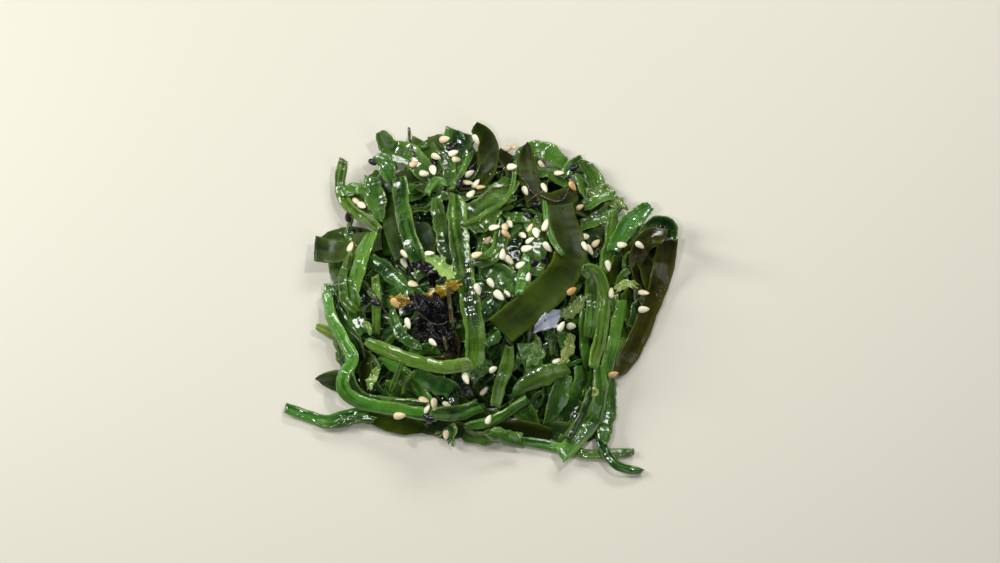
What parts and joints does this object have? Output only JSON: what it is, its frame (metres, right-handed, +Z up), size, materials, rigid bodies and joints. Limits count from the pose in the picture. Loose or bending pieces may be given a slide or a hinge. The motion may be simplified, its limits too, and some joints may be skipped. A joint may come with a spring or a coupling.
{
  "type": "wakame seaweed salad serving",
  "caption": "Heaped serving of cut wakame seaweed: glossy midrib strips, leaf ribbons and wood ear shreds, with sesame seeds, resting flat.",
  "frame": {"origin": "middle of the heap's flat foot, on the surface it rests on", "axes": "+X to the eater's right, along the heap's longest side; +Y away from the eater; +Z up"},
  "size_m": [0.0982, 0.0901, 0.0274],
  "materials": {
    "midrib_green": "wet gloss",
    "leaf_green": "wet gloss",
    "leaf_olive": "wet gloss",
    "scrap_pale": "wet gloss",
    "scrap_amber": "wet gloss",
    "wood_ear_black": "wet gloss",
    "packed_green": "wet gloss",
    "sesame_cream": "satin",
    "sesame_black": "satin",
    "dressing": "wet droplets"
  },
  "bodies": {
    "root": {"amber_scrap_01": "scrap_amber", "green_strip_01": "leaf_green", "green_strip_02": "leaf_green", "green_strip_03": "leaf_green", "green_strip_04": "leaf_green", "green_strip_05": "leaf_green", "green_strip_06": "leaf_green", "green_strip_07": "leaf_green", "green_strip_08": "leaf_green", "green_strip_09": "leaf_green", "green_strip_10": "leaf_green", "green_strip_11": "leaf_green", "green_strip_12": "leaf_green", "green_strip_13": "leaf_green", "green_strip_14": "leaf_green", "green_strip_15": "leaf_green", "green_strip_16": "leaf_green", "green_strip_17": "leaf_green", "green_strip_18": "leaf_green", "green_strip_19": "leaf_green", "green_strip_20": "leaf_green", "green_strip_21": "leaf_green", "green_strip_22": "leaf_green", "green_strip_23": "leaf_green", "midrib_strip_01": "midrib_green", "midrib_strip_02": "midrib_green", "midrib_strip_03": "midrib_green", "midrib_strip_04": "midrib_green", "midrib_strip_05": "midrib_green", "midrib_strip_06": "midrib_green", "midrib_strip_07": "midrib_green", "midrib_strip_08": "midrib_green", "midrib_strip_09": "midrib_green", "midrib_strip_10": "midrib_green", "midrib_strip_11": "midrib_green", "midrib_strip_12": "midrib_green", "midrib_strip_13": "midrib_green", "midrib_strip_14": "midrib_green", "midrib_strip_15": "midrib_green", "midrib_strip_16": "midrib_green", "midrib_strip_17": "midrib_green", "midrib_strip_18": "midrib_green", "midrib_strip_19": "midrib_green", "midrib_strip_20": "midrib_green", "midrib_strip_21": "midrib_green", "olive_leaf_01": "leaf_olive", "olive_leaf_02": "leaf_olive", "olive_leaf_03": "leaf_olive", "olive_leaf_04": "leaf_olive", "olive_leaf_05": "leaf_olive", "olive_leaf_06": "leaf_olive", "olive_leaf_07": "leaf_olive", "olive_leaf_08": "leaf_olive", "olive_leaf_09": "leaf_olive", "olive_leaf_10": "leaf_olive", "packed_strips": "packed_green", "pale_scrap_01": "scrap_pale", "pale_scrap_02": "scrap_pale", "wood_ear_shreds": "wood_ear_black"}
  },
  "joints": []
}
